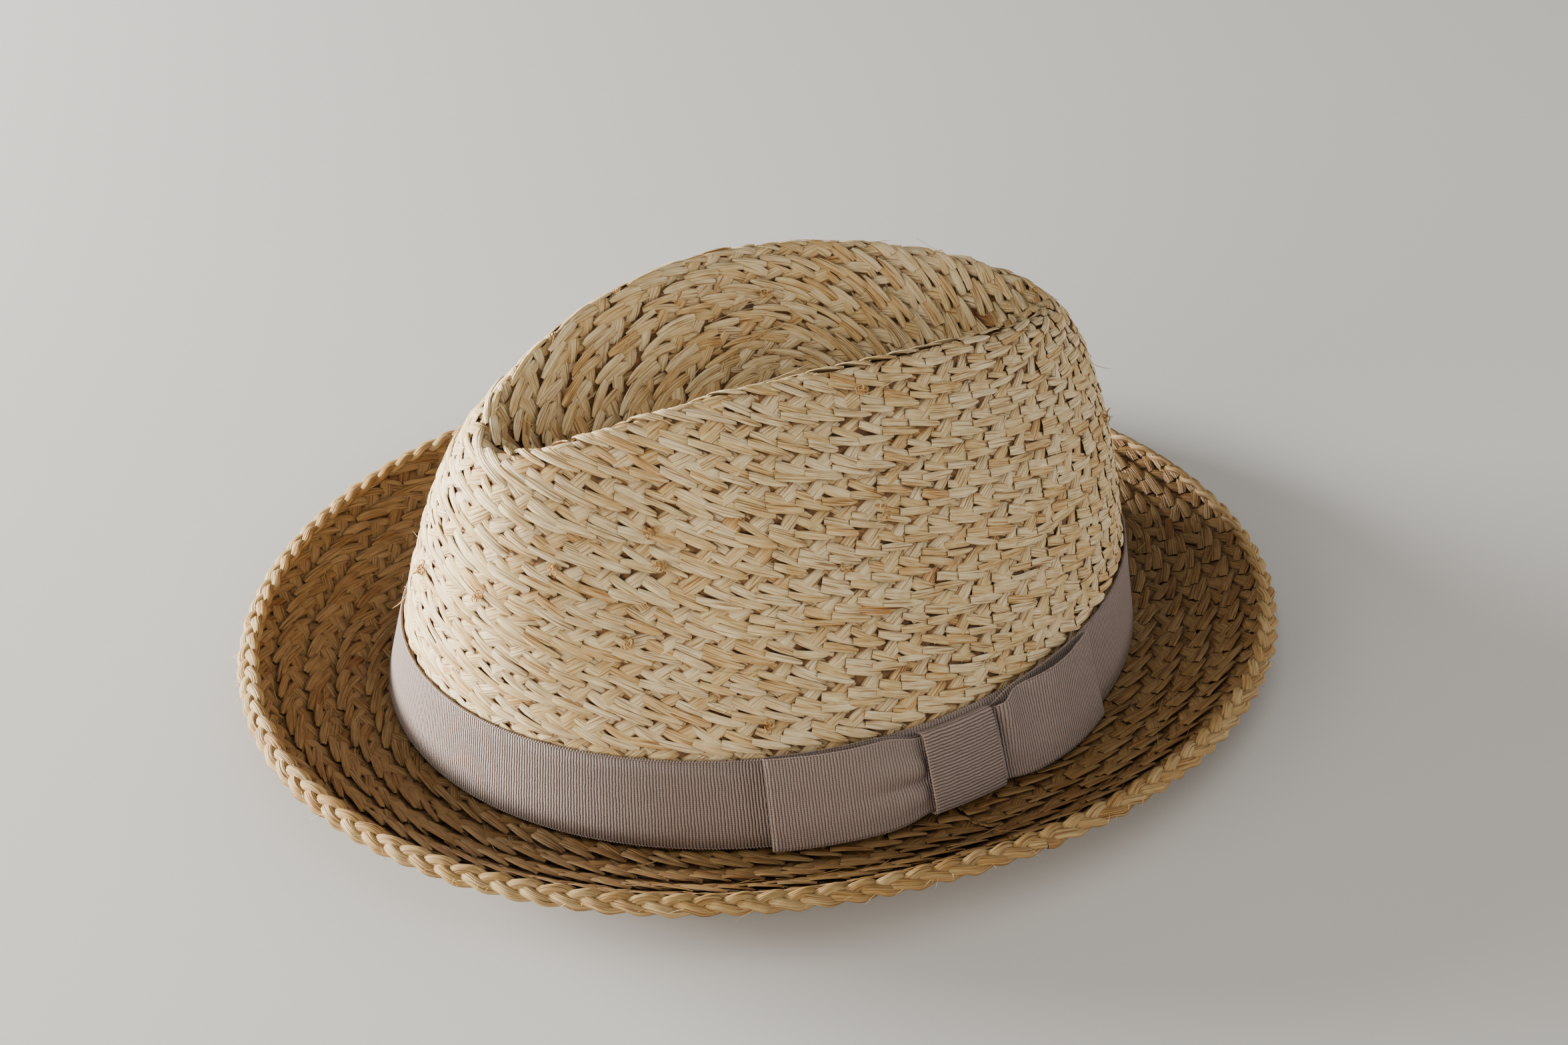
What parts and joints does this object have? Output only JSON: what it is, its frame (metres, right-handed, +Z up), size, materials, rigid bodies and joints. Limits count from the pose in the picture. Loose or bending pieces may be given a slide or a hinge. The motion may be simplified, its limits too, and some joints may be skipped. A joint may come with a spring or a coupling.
{
  "type": "raffia hat",
  "caption": "Narrow-brimmed plaited raffia hat with a teardrop crease, a turned-up brim, a braided edge and a grosgrain ribbon with a flat bow.",
  "frame": {"origin": "on the surface that the hat rests on, below the middle of the hat's box", "axes": "+Z up through the crown, -Y towards the hat's front, +X towards the wearer's left, where the bow is"},
  "size_m": [0.2408, 0.2816, 0.1025],
  "materials": {
    "crown_straw": "matt plaited raffia, cream to light tan",
    "brim_straw": "matt plaited raffia, warm tan",
    "edge_straw": "twisted raffia, light tan",
    "ribbon": "ribbed grosgrain ribbon, mauve taupe"
  },
  "bodies": {
    "root": {"crown": "crown_straw", "brim": "brim_straw", "brim_edge": "edge_straw", "ribbon_band": "ribbon", "bow_front_loop": "ribbon", "bow_back_loop": "ribbon", "bow_knot": "ribbon"}
  },
  "joints": []
}
